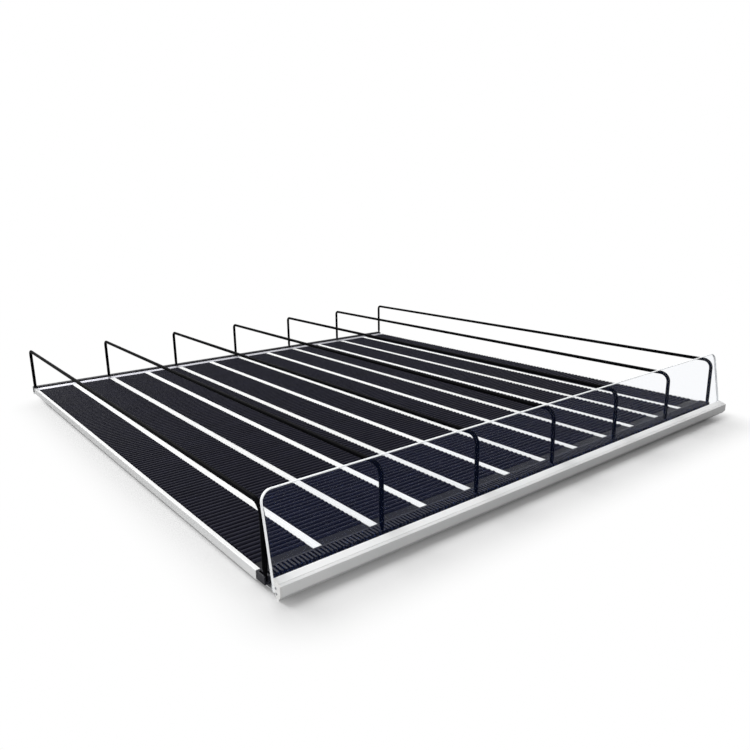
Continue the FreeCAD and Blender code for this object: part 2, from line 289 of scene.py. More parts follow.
@dataclass(frozen=True)
class SolidFinish:
    """Opaque surface with mottled colour, varying gloss and a fine relief."""

    name: str
    colour: Colour
    second_colour: Colour
    roughness: Flat
    mottle_size: float = 30 * MM
    mottle_detail: float = 3.0
    grain_size: float = 0.8 * MM
    grain_detail: float = 2.0
    grain_depth: float = 0.02 * MM
    grain_strength: float = 0.6
    stretch: Triple = EVEN
    metallic: float = 0.0
    specular: float = 0.5

    def material(self) -> Material:
        """Build the node material of this finish.

        Returns:
            The material.
        """
        sketch = Sketch.material(self.name)
        surface = sketch.node("ShaderNodeBsdfPrincipled", Metallic=self.metallic)
        surface.inputs["Specular IOR Level"].default_value = self.specular
        mottle = sketch.noise(self.mottle_size, self.mottle_detail, self.stretch)
        colour = sketch.between(mottle, self.colour, self.second_colour)
        sketch.link(colour, surface.inputs["Base Color"])
        gloss = sketch.mapped(mottle, Sketch.NOISE_SPAN, self.roughness)
        sketch.link(gloss, surface.inputs["Roughness"])
        grain = sketch.noise(self.grain_size, self.grain_detail, self.stretch)
        relief = sketch.node("ShaderNodeBump", Strength=self.grain_strength)
        relief.inputs["Distance"].default_value = self.grain_depth
        sketch.link(grain, relief.inputs["Height"])
        sketch.link(relief.outputs["Normal"], surface.inputs["Normal"])
        return sketch.output(surface.outputs["BSDF"])


@dataclass(frozen=True)
class ClearFinish:
    """Clear sheet with a faint tint, which lamp light and bounced light pass straight."""

    name: str
    tint: Colour
    haze_colour: Colour
    haze: float = 0.025
    haze_spread: float = 1.0
    clearness: float = 1.0
    index: float = 1.05
    smear_size: float = 90 * MM
    smear_detail: float = 2.0
    roughness: Flat = (0.0, 0.006)

    def material(self) -> Material:
        """Build the node material of this finish.

        Returns:
            The material.
        """
        sketch = Sketch.material(self.name)
        sheet = sketch.node(
            "ShaderNodeBsdfPrincipled",
            Base_Color=(*self.tint, 1.0),
            IOR=self.index,
            Transmission_Weight=self.clearness,
            Sheen_Weight=self.haze,
            Sheen_Roughness=self.haze_spread,
            Sheen_Tint=(*self.haze_colour, 1.0),
        )
        smear = sketch.noise(self.smear_size, self.smear_detail, EVEN)
        gloss = sketch.mapped(smear, Sketch.NOISE_SPAN, self.roughness)
        sketch.link(gloss, sheet.inputs["Roughness"])
        open_way = sketch.node("ShaderNodeBsdfTransparent", Color=WHITE)
        path = sketch.node("ShaderNodeLightPath")
        lamp, bounced = path.outputs["Is Shadow Ray"], path.outputs["Is Diffuse Ray"]
        passing = sketch.joined(Join.EITHER, lamp, bounced)
        return sketch.output(sketch.mixed(passing, sheet.outputs["BSDF"], open_way.outputs["BSDF"]))


@dataclass(frozen=True)
class FloorFinish:
    """Pale floor that keeps shadows near the shelf and runs out into a white background."""

    name: str
    colour: Colour
    bounce_colour: Colour
    middle: Triple
    kept: Triple
    fade_width: float
    cloud_size: float = 0.4
    cloud_detail: float = 2.0
    cloud_level: float = 0.99

    def outside(self, sketch: Sketch) -> NodeSocket:
        """Measure how far the floor lies outside the rectangle that keeps its shade.

        Args:
            sketch: Nodes of the material.

        Returns:
            The distance's output.
        """
        value = sketch.node("ShaderNodeTexCoord").outputs["Object"]
        steps = (
            ("SUBTRACT", self.middle),
            ("ABSOLUTE", None),
            ("SUBTRACT", self.kept),
            ("MAXIMUM", (0.0, 0.0, 0.0)),
        )
        for operation, operand in steps:
            step = sketch.node("ShaderNodeVectorMath", {"operation": operation})
            sketch.link(value, step.inputs[0])
            if operand:
                step.inputs[1].default_value = operand
            value = step.outputs["Vector"]
        reach = sketch.node("ShaderNodeVectorMath", {"operation": "LENGTH"})
        sketch.link(value, reach.inputs[0])
        return reach.outputs["Value"]

    def material(self) -> Material:
        """Build the node material of this finish.

        Returns:
            The material.
        """
        sketch = Sketch.material(self.name)
        seen = sketch.seen_directly()
        cloud = sketch.noise(self.cloud_size, self.cloud_detail, EVEN)
        darker = tuple(self.cloud_level * part for part in self.colour)
        paint = sketch.between(cloud, darker, self.colour)
        choice = sketch.node("ShaderNodeMix", {"data_type": "RGBA"}, A=(*self.bounce_colour, 1.0))
        sketch.link(seen, choice.inputs["Factor"])
        sketch.link(paint, choice.inputs["B"])
        ground = sketch.node("ShaderNodeBsdfDiffuse")
        sketch.link(choice.outputs["Result"], ground.inputs["Color"])
        glow = sketch.node("ShaderNodeEmission", Color=WHITE)
        fade = sketch.node("ShaderNodeMapRange", {"interpolation_type": "SMOOTHSTEP"})
        fade.inputs["From Max"].default_value = self.fade_width
        sketch.link(self.outside(sketch), fade.inputs["Value"])
        share = sketch.joined(Join.BOTH, fade.outputs["Result"], seen)
        return sketch.output(sketch.mixed(share, ground.outputs["BSDF"], glow.outputs["Emission"]))


WHITE_COAT = SolidFinish(
    name="white_powder_coat",
    colour=(0.88, 0.89, 0.89),
    second_colour=(0.92, 0.92, 0.92),
    roughness=(0.34, 0.44),
    grain_size=0.9 * MM,
    grain_depth=0.03 * MM,
)
# Same white powder coat as the nose, painted darker on strips and rails as painted shade, to offset the
# stronger light that falls on them.
STRIPS_COAT_PAINTED_SHADE = replace(
    WHITE_COAT,
    name="white_strips_coat_painted_shade",
    colour=(0.75, 0.76, 0.76),
    second_colour=(0.79, 0.79, 0.79),
)
WHITE_MOULDING = SolidFinish(
    name="white_moulded_plastic",
    colour=(0.85, 0.85, 0.84),
    second_colour=(0.89, 0.89, 0.88),
    roughness=(0.38, 0.5),
    grain_size=0.4 * MM,
)
# Sawn edge of the acrylic: it is really frosted, and its near-white colour also paints the glow of light
# carried along the sheet and out at its edges.
FROSTED_EDGE_AND_PAINTED_GLOW = SolidFinish(
    name="sawn_edge_and_painted_glow",
    colour=(0.90, 0.93, 0.95),
    second_colour=(0.96, 0.97, 0.98),
    roughness=(0.3, 0.5),
    mottle_size=8 * MM,
    grain_size=0.3 * MM,
    grain_depth=0.05 * MM,
)
COMB_MOULDING = SolidFinish(
    name="black_moulded_plastic",
    colour=(0.010, 0.010, 0.015),
    second_colour=(0.016, 0.016, 0.022),
    roughness=(0.36, 0.5),
    grain_size=0.5 * MM,
    specular=0.12,
)
TRACK_MOULDING = SolidFinish(
    name="black_track_plastic",
    colour=(0.003, 0.003, 0.005),
    second_colour=(0.006, 0.006, 0.009),
    roughness=(0.34, 0.46),
    grain_size=0.5 * MM,
    specular=0.06,
)
ROLLER_PLASTIC = SolidFinish(
    name="charcoal_roller_plastic",
    colour=(0.0125, 0.0125, 0.0205),
    second_colour=(0.0195, 0.0195, 0.032),
    roughness=(0.4, 0.52),
    mottle_size=12 * MM,
    grain_size=0.6 * MM,
    stretch=(3.0, 1.0, 1.0),
    specular=0.03,
)
WIRE_COAT = SolidFinish(
    name="satin_black_wire_coat",
    colour=(0.0015, 0.0015, 0.0020),
    second_colour=(0.0030, 0.0030, 0.0036),
    roughness=(0.35, 0.5),
    mottle_size=15 * MM,
    grain_size=0.7 * MM,
    grain_depth=0.03 * MM,
    specular=0.006,
)
MILL_ALUMINIUM = SolidFinish(
    name="mill_aluminium",
    colour=(0.50, 0.51, 0.52),
    second_colour=(0.60, 0.61, 0.62),
    roughness=(0.28, 0.42),
    mottle_size=4 * MM,
    grain_size=0.5 * MM,
    stretch=(40.0, 1.0, 1.0),
    metallic=1.0,
)
COVER_ALUMINIUM = replace(
    MILL_ALUMINIUM,
    name="satin_grey_aluminium",
    colour=(0.31, 0.31, 0.34),
    second_colour=(0.38, 0.38, 0.41),
    roughness=(0.4, 0.55),
)
SCREW_STEEL = SolidFinish(
    name="zinc_screw_steel",
    colour=(0.30, 0.31, 0.33),
    second_colour=(0.42, 0.43, 0.45),
    roughness=(0.3, 0.45),
    mottle_size=1.5 * MM,
    grain_size=0.2 * MM,
    metallic=1.0,
)
CLEAR_ACRYLIC = ClearFinish(
    name="clear_acrylic_sheet",
    tint=(0.975, 0.985, 1.0),
    haze_colour=(0.1, 0.25, 1.0),
)
STUDIO_FLOOR = FloorFinish(
    name="studio_floor",
    colour=(0.655, 0.655, 0.655),
    bounce_colour=(0.19, 0.19, 0.19),
    middle=(-0.02, -0.05, 0.0),
    kept=(0.32, 0.34, 0.0),
    fade_width=0.075,
)


class Palette:
    """Materials of the shelf, each built once."""

    def __init__(self) -> None:
        """Build every material."""
        self.white_coat = WHITE_COAT.material()
        self.strips_coat_painted_shade = STRIPS_COAT_PAINTED_SHADE.material()
        self.white_moulding = WHITE_MOULDING.material()
        self.frosted_edge_and_painted_glow = FROSTED_EDGE_AND_PAINTED_GLOW.material()
        self.comb = COMB_MOULDING.material()
        self.track = TRACK_MOULDING.material()
        self.roller = ROLLER_PLASTIC.material()
        self.wire = WIRE_COAT.material()
        self.aluminium = MILL_ALUMINIUM.material()
        self.cover = COVER_ALUMINIUM.material()
        self.screw = SCREW_STEEL.material()
        self.clear = CLEAR_ACRYLIC.material()
        self.floor = STUDIO_FLOOR.material()


def rounded(outline: list[Flat], radii: list[float], steps: int = 4) -> list[Flat]:
    """Turn the corners of a closed outline into arcs.

    Args:
        outline: Corners in order.
        radii: Radius at each corner, 0 where it stays sharp.
        steps: Number of chords in each arc.

    Returns:
        The points of the new outline.
    """
    points = []
    for number, (corner, radius) in enumerate(zip(outline, radii)):
        here = Vector(corner)
        if radius == 0:
            points.append(tuple(here))
            continue
        before = (Vector(outline[number - 1]) - here).normalized()
        after = (Vector(outline[(number + 1) % len(outline)]) - here).normalized()
        half = before.angle(after) / 2
        start = before * (radius / math.tan(half))
        end = after * (radius / math.tan(half))
        middle = (before + after).normalized() * (radius / math.sin(half))
        sweep = (start - middle).angle_signed(end - middle)
        for step in range(steps + 1):
            turned = Matrix.Rotation(-sweep * step / steps, 2) @ (start - middle)
            points.append(tuple(here + middle + turned))
    return points


def circle(radius: float, sides: int) -> list[Flat]:
    """List points in order around a circle about the origin."""
    turns = [2 * math.pi * step / sides for step in range(sides)]
    return [(math.cos(turn) * radius, math.sin(turn) * radius) for turn in turns]


class Piece:
    """Mesh under construction, gathered from bars, blocks and swept rings."""

    SHARP_ANGLE: float = 40.0
    CHAMFER_STEPS: int = 2
    ROUND_PROFILE: float = 0.5

    def __init__(self, name: str) -> None:
        """Start an empty mesh under the name of the object that it becomes."""
        self.name = name
        self.mesh = bmesh.new()

    def bar(self, outline: list[Flat], run: Run, low: float, high: float, soft: float = 0.0) -> None:
        """Draw an outline out into a bar: (y, z) points across the shelf, (x, z) points along it."""
        self.rings([[run.place(point, end) for point in outline] for end in (low, high)], soft)

    def block(self, low: Vector, high: Vector, soft: float = 0.0) -> None:
        """Add a box from its lowest to its highest corner, with chamfers of the soft width."""
        outline = [(low.y, low.z), (high.y, low.z), (high.y, high.z), (low.y, high.z)]
        self.bar(outline, Run.ACROSS, low.x, high.x, soft)

    def rings(self, rings: list[list[Vector]], soft: float = 0.0) -> None:
        """Add a closed skin over rings of points, with flat ends.

        Args:
            rings: Rings of equal length, in order.
            soft: Width of the chamfer on its sharp edges.
        """
        part = bmesh.new()
        rows = [[part.verts.new(point) for point in ring] for ring in rings]
        for row, following in zip(rows, rows[1:]):
            for number in range(len(row)):
                after = (number + 1) % len(row)
                part.faces.new((row[number], row[after], following[after], following[number]))
        part.faces.new(reversed(rows[0]))
        part.faces.new(rows[-1])
        bmesh.ops.recalc_face_normals(part, faces=part.faces)
        if soft:
            limit = math.radians(self.SHARP_ANGLE)
            bmesh.ops.bevel(
                part,
                geom=[edge for edge in part.edges if edge.calc_face_angle(0) > limit],
                offset=soft,
                segments=self.CHAMFER_STEPS,
                profile=self.ROUND_PROFILE,
                affect="EDGES",
            )
        self.merge(part)

    def merge(self, part: bmesh.types.BMesh) -> None:
        """Add another mesh, which is used up.

        Args:
            part: Mesh to add.
        """
        data = bpy.data.meshes.new("part")
        part.to_mesh(data)
        part.free()
        self.mesh.from_mesh(data)
        bpy.data.meshes.remove(data)

    def rod(self, start: Vector, length: float, radius: float, sides: int, chamfer: float) -> None:
        """Add a round bar along +X.

        Args:
            start: Middle of its left end.
            length: Length of the bar.
            radius: Radius of the bar.
            sides: Number of flats around it.
            chamfer: Width of the chamfer at both ends.
        """
        end = radius - chamfer
        stations = ((0.0, end), (chamfer, radius), (length - chamfer, radius), (length, end))
        rings = []
        for x, reach in stations:
            rings.append([start + Vector((x, y, z)) for y, z in circle(reach, sides)])
        self.rings(rings)

    def finish(self, *materials: Material, smooth_angle: float = 35.0) -> Object:
        """Turn the mesh into an object.

        Args:
            materials: Materials of the object, in the order of its faces' indices.
            smooth_angle: Edges that turn by more than this stay sharp, in degrees.

        Returns:
            The object.
        """
        data = bpy.data.meshes.new(self.name)
        self.mesh.to_mesh(data)
        self.mesh.free()
        data.polygons.foreach_set("use_smooth", [True] * len(data.polygons))
        data.set_sharp_from_angle(angle=math.radians(smooth_angle))
        for material in materials:
            data.materials.append(material)
        made = bpy.data.objects.new(self.name, data)
        bpy.context.scene.collection.objects.link(made)
        made.modifiers.new("flat_faces", "WEIGHTED_NORMAL").keep_sharp = True
        return made


def seat(made: Object, body: str, slot: Slot, *nodes: str) -> None:
    """Put a piece on its body and let it stand for solids of the frame.

    Args:
        made: The piece.
        body: Body that it moves with.
        slot: Material slot of its finish; not used.
        nodes: Solids that it stands for.
    """
    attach(made, body)
    if nodes:
        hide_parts(*nodes)
    LOG.info("%s: %d faces, rides on %s", made.name, len(made.data.polygons), body)


@dataclass
class RollerDeck:
    """Twelve roller tracks with their rollers."""

    palette: Palette
    tracks: int = 12
    rollers: int = 107
    pitch: float = 6.5 * MM
    rise: float = 1.4 * MM
    wall: float = 3.35 * MM
    pin_radius: float = 0.9 * MM
    pin_length: float = 2.0 * MM
    pin_clearance: float = 0.05 * MM
    pin_sides: int = 8
    turning_sides: int = 24
    row_sides: int = 16
    notch_steps: int = 6
    floor_gap: float = 0.35 * MM
    rib: float = 0.7 * MM
    rib_rise: float = 0.5 * MM
    front_plain: float = 11.0 * MM
    rear_plain: float = 14.0 * MM
    soft: float = 0.3 * MM

    def roller(self, piece: Piece, first: Box, shift: float, sides: int) -> None:
        """Add one roller with its pins.

        Args:
            piece: Mesh that it goes into.
            first: Lowest and highest corner of the track's front roller.
            shift: Distance behind the front roller.
            sides: Number of flats around the barrel.
        """
        low, high = first
        left, right = low.x + self.pin_length, high.x - self.pin_length
        length = right - left
        middle = (low + high) / 2 + Vector((0, shift, 0))
        start = Vector((left, middle.y, middle.z))
        piece.rod(start, length, (high.z - low.z) / 2, sides, self.soft)
        start.x -= self.pin_length
        reach = length + 2 * self.pin_length
        piece.rod(start, reach, self.pin_radius, self.pin_sides, self.soft / 2)

    def front_roller(self, number: int) -> None:
        """Build the turning front roller of a track.

        Args:
            number: Number of the track, from 1.
        """
        node = f"front_roller_{number:02d}"
        piece = Piece(f"turning_roller_{number:02d}")
        self.roller(piece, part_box(node), 0.0, self.turning_sides)
        seat(piece.finish(self.palette.roller), node, Slot.ROLLER_BLACK, node)

    def roller_row(self, number: int) -> None:
        """Build the other rollers of a track as one piece.

        Args:
            number: Number of the track, from 1.
        """
        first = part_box(f"front_roller_{number:02d}")
        piece = Piece(f"roller_row_{number:02d}")
        for index in range(1, self.rollers):
            self.roller(piece, first, index * self.pitch, self.row_sides)
        seat(piece.finish(self.palette.roller), SHELF, Slot.ROLLER_BLACK)

    def wall_outline(self, low: Vector, high: Vector, top: float, first: Vector) -> list[Flat]:
        """Draw the side of a track's wall with an open notch for each roller's pin.

        Args:
            low: Lowest corner of the track's box.
            high: Highest corner of the track's box.
            top: Height of the wall.
            first: Middle of the front roller.

        Returns:
            The points of the outline, as (y, z) pairs.
        """
        reach = self.pin_radius + self.pin_clearance
        points = [(high.y, top), (high.y, low.z), (low.y, low.z), (low.y, top)]
        for index in range(self.rollers):
            middle = first.y + index * self.pitch
            points.append((middle - reach, top))
            for step in range(self.notch_steps + 1):
                turn = math.pi * step / self.notch_steps
                points.append((middle - math.cos(turn) * reach, first.z - math.sin(turn) * reach))
            points.append((middle + reach, top))
        return points

    def track(self, number: int) -> None:
        """Build the tray of a track: notched walls, plain ends, floor and ribs between the rollers.

        Args:
            number: Number of the track, from 1.
        """
        node = f"roller_track_{number:02d}"
        low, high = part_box(node)
        first_low, first_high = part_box(f"front_roller_{number:02d}")
        first = (first_low + first_high) / 2
        top = high.z - self.rise
        floor = first_low.z - self.floor_gap
        left, right = low.x + self.wall, high.x - self.wall
        front, rear = low.y + self.front_plain, high.y - self.rear_plain
        piece = Piece(f"track_tray_{number:02d}")
        wall = self.wall_outline(low, high, top, first)
        piece.bar(wall, Run.ACROSS, low.x, left)
        piece.bar(wall, Run.ACROSS, right, high.x)
        piece.block(Vector((left, low.y, low.z)), Vector((right, front, top)), self.soft)
        piece.block(Vector((left, rear, low.z)), Vector((right, high.y, top)), self.soft)
        piece.block(Vector((left, front, low.z)), Vector((right, rear, floor)))
        rib_top = first.z + self.rib_rise
        for index in range(self.rollers - 1):
            middle = first.y + (index + 0.5) * self.pitch
            start = Vector((left, middle - self.rib / 2, floor))
            piece.block(start, Vector((right, middle + self.rib / 2, rib_top)))
        seat(piece.finish(self.palette.track), SHELF, Slot.TRACK_BLACK, node)

    def build(self) -> None:
        """Build all tracks and rollers."""
        for number in range(1, self.tracks + 1):
            self.track(number)
            self.roller_row(number)
            self.front_roller(number)


@dataclass
class LaneStrips:
    """White strips between the tracks and white rails along both sides."""

    palette: Palette
    strips: int = 11
    cap: float = 0.8 * MM
    stem: float = 1.2 * MM
    foot: float = 8.0 * MM
    foot_thickness: float = 1.4 * MM
    foot_setback: float = 8.2 * MM
    groove_width: float = 0.9 * MM
    groove_depth: float = 0.3 * MM
    crown: float = 0.35 * MM
    cover_clearance: float = 0.2 * MM
    rail_wall: float = 1.2 * MM

    def strip(self, number: int) -> None:
        """Build one strip: crowned cap with a centre groove as far as the cover, stem and foot.

        Args:
            number: Number of the strip, from 1.
        """
        node = f"lane_strip_{number:02d}"
        low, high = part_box(node)
        middle = (low.x + high.x) / 2
        under = high.z - self.cap
        foot_top = low.z + self.foot_thickness
        half_groove = self.groove_width / 2
        half_stem = self.stem / 2
        outline = [
            (middle - half_stem, foot_top),
            (middle - half_stem, under),
            (low.x, under),
            (low.x, high.z),
            (middle - half_groove, high.z),
            (middle, high.z - self.groove_depth),
            (middle + half_groove, high.z),
            (high.x, high.z),
            (high.x, under),
            (middle + half_stem, under),
            (middle + half_stem, foot_top),
        ]
        crown = self.crown
        radii = [0, 0, 0, crown, crown, 0, crown, crown, 0, 0, 0]
        cap_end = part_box("rear_cover")[0].y - self.cover_clearance
        piece = Piece(f"strip_{number:02d}")
        piece.bar(rounded(outline, radii), Run.ALONG, low.y, cap_end)
        stem_low = Vector((middle - half_stem, cap_end, foot_top))
        piece.block(stem_low, Vector((middle + half_stem, high.y, under)))
        foot_low = Vector((middle - self.foot / 2, low.y + self.foot_setback, low.z))
        foot_high = Vector((middle + self.foot / 2, high.y - self.foot_setback, foot_top))
        piece.block(foot_low, foot_high)
        # The strip takes the white coat painted darker as painted shade.
        seat(piece.finish(self.palette.strips_coat_painted_shade), SHELF, Slot.WHITE_COAT, node)

    def rail(self, side: Side) -> None:
        """Build a side rail: channel with a rounded outer edge.

        Args:
            side: Side of the shelf.
        """
        node = f"side_rail_{side.value}"
        low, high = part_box(node)
        outer, inner = side.outer(low, high), side.inner(low, high)
        wall = outer - side.outward * self.rail_wall
        under = high.z - self.cap
        foot_top = low.z + self.foot_thickness
        outline = [
            (outer, low.z),
            (inner, low.z),
            (inner, foot_top),
            (wall, foot_top),
            (wall, under),
            (inner, under),
            (inner, high.z),
            (outer, high.z),
        ]
        crown = self.crown
        radii = [crown, 0, 0, 0, 0, 0, crown, 2 * crown]
        piece = Piece(f"edge_rail_{side.value}")
        piece.bar(rounded(outline, radii), Run.ALONG, low.y, high.y)
        # The rail takes the white coat painted darker as painted shade.
        seat(piece.finish(self.palette.strips_coat_painted_shade), SHELF, Slot.WHITE_COAT, node)

    def build(self) -> None:
        """Build all strips and both rails."""
        for number in range(1, self.strips + 1):
            self.strip(number)
        for side in Side:
            self.rail(side)


@dataclass
class FrontNose:
    """White front rail with its end caps and their screws."""

    palette: Palette
    face_bottom: float = 3.8 * MM
    face_top: float = 12.5 * MM
    crease_setback: float = 2.6 * MM
    crease_height: float = 13.7 * MM
    foot: float = 4.0 * MM
    lean: float = 10.0
    edge: float = 0.25 * MM
    groove: float = 0.5 * MM
    smooth_angle: float = 25.0
    cap: float = 2.0 * MM
    cap_soft: float = 0.15 * MM
    screw_radius: float = 1.15 * MM
    screw_proud: float = 0.35 * MM
    screw_dome: tuple[Flat, ...] = ((1.0, -0.3), (1.0, 0.35), (0.9, 0.75), (0.72, 0.95))
    screw_setback: float = 2.4 * MM
    screw_heights: Flat = (4.9 * MM, 9.3 * MM)
    cross_arms: int = 4
    cross_length: float = 1.2 * MM
    cross_width: float = 0.35 * MM
    cross_depth: float = 0.25 * MM

    def rear(self, height: float) -> float:
        """Y of the leaning rear side at a height."""
        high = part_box("front_rail")[1]
        return high.y - (high.z - height) * math.tan(math.radians(self.lean))

    def outline(self) -> list[Flat]:
        """Draw the section of the nose with rounded edges and a fine groove at the crease.

        Returns:
            The points of the outline, as (y, z) pairs.
        """
        low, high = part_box("front_rail")
        crease = low.y + self.crease_setback
        half = self.groove / 2
        front_slope = (self.crease_height - self.face_top) / self.crease_setback
        rear_slope = (high.z - self.crease_height) / (high.y - crease)
        corners = [
            (low.y, self.face_bottom),
            (low.y, self.face_top),
            (crease - half, self.crease_height - half * front_slope),
            (crease, self.crease_height - self.groove),
            (crease + half, self.crease_height + half * rear_slope),
            (high.y, high.z),
            (self.rear(0.0), 0.0),
            (self.rear(0.0) - self.foot, 0.0),
        ]
        edge = self.edge
        return rounded(corners, [edge, edge, 0, 0, 0, edge, edge / 2, edge])

    def rail(self) -> None:
        """Build the nose between the caps."""
        low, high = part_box("front_rail")
        piece = Piece("nose")
        piece.bar(self.outline(), Run.ACROSS, low.x, high.x)
        made = piece.finish(self.palette.white_coat, smooth_angle=self.smooth_angle)
        seat(made, SHELF, Slot.WHITE_COAT, "front_rail")

    def end_cap(self, side: Side) -> None:
        """Build one end cap.

        Args:
            side: End of the nose.
        """
        node = f"end_cap_{side.value}"
        outer = side.outer(*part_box(node))
        ends = sorted((outer, outer - side.outward * self.cap))
        piece = Piece(f"nose_cap_{side.value}")
        piece.bar(self.outline(), Run.ACROSS, ends[0], ends[1], self.cap_soft)
        seat(piece.finish(self.palette.white_moulding), SHELF, Slot.WHITE_PLASTIC, node)

    def screw_outlines(self) -> list[tuple[float, list[Flat]]]:
        """Draw the sections of a screw from the cap to the bottom of its cross recess.

        Returns:
            For each section its height over the cap and its (y, z) points.
        """
        long, short = self.cross_length / 2, self.cross_width / 2
        arm = [(long, 0.0), (long, short), (short, short), (short, long)]
        cross = []
        for _ in range(self.cross_arms):
            cross += arm
            arm = [(-z, y) for y, z in arm]
        sections = []
        for share, height in self.screw_dome:
            ring = circle(self.screw_radius * share, len(cross))
            sections.append((height * self.screw_proud, ring))
        sections.append((self.screw_proud, cross))
        sections.append((self.screw_proud - self.cross_depth, cross))
        return sections

    def screw(self, side: Side, number: int) -> None:
        """Build one cap screw: domed head with a cross recess.

        Args:
            side: End of the nose.
            number: Number of the screw, from 1 at the bottom.
        """
        outer = side.outer(*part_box(f"end_cap_{side.value}"))
        height = self.screw_heights[number - 1]
        middle = Vector((outer, self.rear(height) - self.screw_setback, height))
        rings = []
        for proud, outline in self.screw_outlines():
            rings.append([middle + Vector((side.outward * proud, y, z)) for y, z in outline])
        piece = Piece(f"cap_screw_{side.value}_{number}")
        piece.rings(rings)
        seat(piece.finish(self.palette.screw), SHELF, Slot.BARE_ALUMINIUM)

    def build(self) -> None:
        """Build nose, caps and screws."""
        self.rail()
        for side in Side:
            self.end_cap(side)
            for number in range(1, len(self.screw_heights) + 1):
                self.screw(side, number)


@dataclass
class StopPanel:
    """Clear leaning panel with frosted sawn edges, whose near-white colour is partly painted glow."""

    palette: Palette
    thickness: float = 3.5 * MM
    lean: float = 10.0
    corner: float = 10.0 * MM
    chamfer: float = 0.7 * MM
    arc_steps: int = 10
    edge_corners: int = 4
    smooth_angle: float = 25.0

    def outline(self, inset: float) -> list[Flat]:
        """Draw the rim of the panel in its own plane.

        Args:
            inset: Distance of the line inside the rim.

        Returns:
            The points of the line, as (x, height) pairs.
        """
        low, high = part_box("front_panel")
        turn = math.radians(self.lean)
        height = (high.z - low.z - self.thickness * math.sin(turn)) / math.cos(turn)
        left, right = low.x + inset, high.x - inset
        corners = [(left, inset), (right, inset), (right, height - inset), (left, height - inset)]
        radius = self.corner - inset
        return rounded(corners, [0.0, 0.0, radius, radius], self.arc_steps)

    def build(self) -> None:
        """Build the panel with clear faces and sawn, chamfered edges."""
        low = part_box("front_panel")[0]
        turn = math.radians(self.lean)
        foot = Vector((0.0, low.y + self.thickness * math.cos(turn), low.z))
        layers = (
            (0.0, self.chamfer),
            (self.chamfer, 0.0),
            (self.thickness - self.chamfer, 0.0),
            (self.thickness, self.chamfer),
        )
        rings = []
        for depth, inset in layers:
            ring = []
            for x, up in self.outline(inset):
                y = up * math.sin(turn) - depth * math.cos(turn)
                z = up * math.cos(turn) + depth * math.sin(turn)
                ring.append(foot + Vector((x, y, z)))
            rings.append(ring)
        piece = Piece("clear_panel")
        piece.rings(rings)
        # Edge faces get the frosted finish: partly real frosting, partly painted glow.
        for face in piece.mesh.faces:
            face.material_index = 0 if len(face.verts) > self.edge_corners else 1
        materials = (self.palette.clear, self.palette.frosted_edge_and_painted_glow)
        made = piece.finish(*materials, smooth_angle=self.smooth_angle)
        seat(made, "front_panel", Slot.CLEAR_PANEL, "front_panel")


@dataclass
class FrontComb:
    """Black toothed bar in which the front feet of the dividers stand."""

    palette: Palette
    pitch: float = 4.0 * MM
    slot_width: float = 2.0 * MM
    slot_length: float = 11.0 * MM
    slot_depth: float = 4.6 * MM
    soft: float = 0.25 * MM

    def build(self) -> None:
        """Build the comb: base, ledge, teeth and end blocks."""
        low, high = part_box("front_comb")
        floor = high.z - self.slot_depth
        ledge_y = low.y + self.slot_length
        piece = Piece("toothed_comb")
        piece.block(low, Vector((high.x, high.y, floor)), self.soft)
        piece.block(Vector((low.x, ledge_y, floor)), high, self.soft)
        last = math.floor((high.x - self.slot_width) / self.pitch)
        edges = [low.x]
        for number in range(-last, last + 1):
            edges.append(number * self.pitch - self.slot_width / 2)
            edges.append(number * self.pitch + self.slot_width / 2)
        edges.append(high.x)
        for start, end in zip(edges[0::2], edges[1::2]):
            piece.block(Vector((start, low.y, floor)), Vector((end, ledge_y, high.z)), self.soft)
        seat(piece.finish(self.palette.comb), SHELF, Slot.COMB_BLACK, "front_comb")


@dataclass
class RearEnd:
    """Grooved bar for the rear feet, cover strip, and the aluminium pieces front and rear."""

    palette: Palette
    cover_soft: float = 0.2 * MM
    groove_setback: float = 2.6 * MM
    groove_width: float = 2.2 * MM
    groove_depth: float = 6.0 * MM
    edge: float = 0.6 * MM
    plain_solids: tuple[str, ...] = ("front_plate", "groove_lip", "rear_rail")

    def bar(self) -> None:
        """Build the grooved rear bar."""
        low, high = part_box("rear_bar")
        groove_front = low.y + self.groove_setback - self.groove_width / 2
        groove_rear = low.y + self.groove_setback + self.groove_width / 2
        floor = high.z - self.groove_depth
        outline = [
            (low.y, low.z),
            (low.y, high.z),
            (groove_front, high.z),
            (groove_front, floor),
            (groove_rear, floor),
            (groove_rear, high.z),
            (high.y, high.z),
            (high.y, low.z),
        ]
        edge = self.edge
        radii = [0, edge, edge / 2, 0, 0, edge / 2, edge, 0]
        piece = Piece("grooved_rear_bar")
        piece.bar(rounded(outline, radii), Run.ACROSS, low.x, high.x)
        seat(piece.finish(self.palette.comb), SHELF, Slot.COMB_BLACK, "rear_bar")

    def cover(self) -> None:
        """Build the flat cover strip over the rear ends of the tracks."""
        piece = Piece("cover_strip")
        piece.block(*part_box("rear_cover"), self.cover_soft)
        seat(piece.finish(self.palette.cover), SHELF, Slot.BARE_ALUMINIUM, "rear_cover")

    def build(self, nodes: dict[str, Object]) -> None:
        """Build bar and cover, and give the aluminium solids their finish.

        Args:
            nodes: Solids of the frame by name.
        """
        self.bar()
        self.cover()
        for name in self.plain_solids:
            nodes[name].data.materials.clear()
            nodes[name].data.materials.append(self.palette.aluminium)
            LOG.info("%s: mill aluminium", name)


